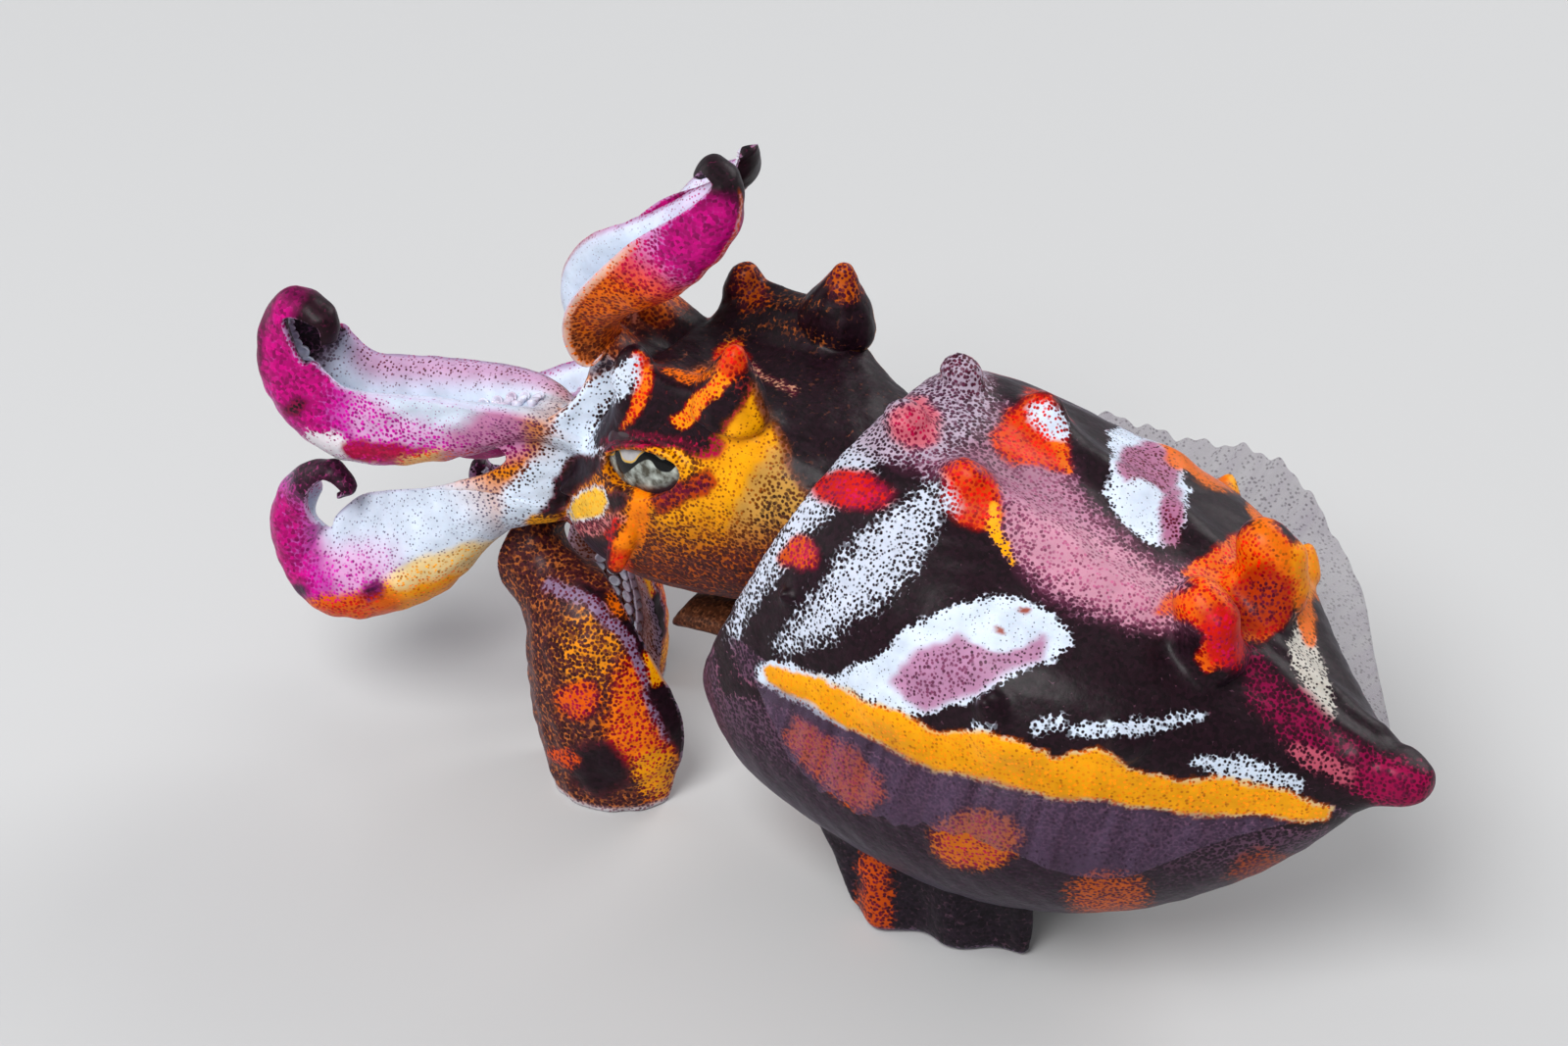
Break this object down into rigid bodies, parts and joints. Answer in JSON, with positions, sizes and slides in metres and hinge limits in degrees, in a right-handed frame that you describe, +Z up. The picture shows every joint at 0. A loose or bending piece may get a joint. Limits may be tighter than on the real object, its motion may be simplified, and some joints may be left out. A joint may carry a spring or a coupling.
{
  "type": "flamboyant cuttlefish model",
  "caption": "Still life-size model of a flamboyant cuttlefish walking on two arms and two belly flaps, its other arms raised or held forward.",
  "frame": {"origin": "middle of the model's footprint box, on the floor", "axes": "+X from the head to the tail, -Y to the animal's left, +Z up"},
  "size_m": [0.1246, 0.0592, 0.0781],
  "materials": {
    "mantle_skin": "wet, soft skin with a thin clear gloss, dark maroon with white, yellow and pink patches",
    "head_skin": "wet, soft skin with a thin clear gloss, maroon and orange-yellow",
    "arm_skin": "wet, soft skin with a thin clear gloss, white, pink and magenta with orange",
    "fin_skin": "wet, soft skin with a thin clear gloss, see-through mauve",
    "flap_skin": "wet, soft skin with a thin clear gloss, dark with an orange patch",
    "funnel_skin": "wet, soft skin with a thin clear gloss, brown",
    "mouth_skin": "wet, soft skin with a thin clear gloss, pale pink",
    "eye": "polished, silver-green iris round a black W-shaped pupil",
    "beak": "dark brown horn"
  },
  "bodies": {
    "root": {"arm_left_1_end": "arm_skin", "arm_left_1_root": "arm_skin", "arm_left_2_end": "arm_skin", "arm_left_2_root": "arm_skin", "arm_left_3_end": "arm_skin", "arm_left_3_root": "arm_skin", "arm_left_4_end": "arm_skin", "arm_left_4_root": "arm_skin", "arm_right_1_end": "arm_skin", "arm_right_1_root": "arm_skin", "arm_right_2_end": "arm_skin", "arm_right_2_root": "arm_skin", "arm_right_3_end": "arm_skin", "arm_right_3_root": "arm_skin", "arm_right_4_end": "arm_skin", "arm_right_4_root": "arm_skin", "beak": "beak", "belly_flap_left": "flap_skin", "belly_flap_right": "flap_skin", "eye_left": "eye", "eye_right": "eye", "fin_left": "fin_skin", "fin_right": "fin_skin", "funnel": "funnel_skin", "head": "head_skin", "mantle": "mantle_skin", "mouth": "mouth_skin"}
  },
  "joints": []
}
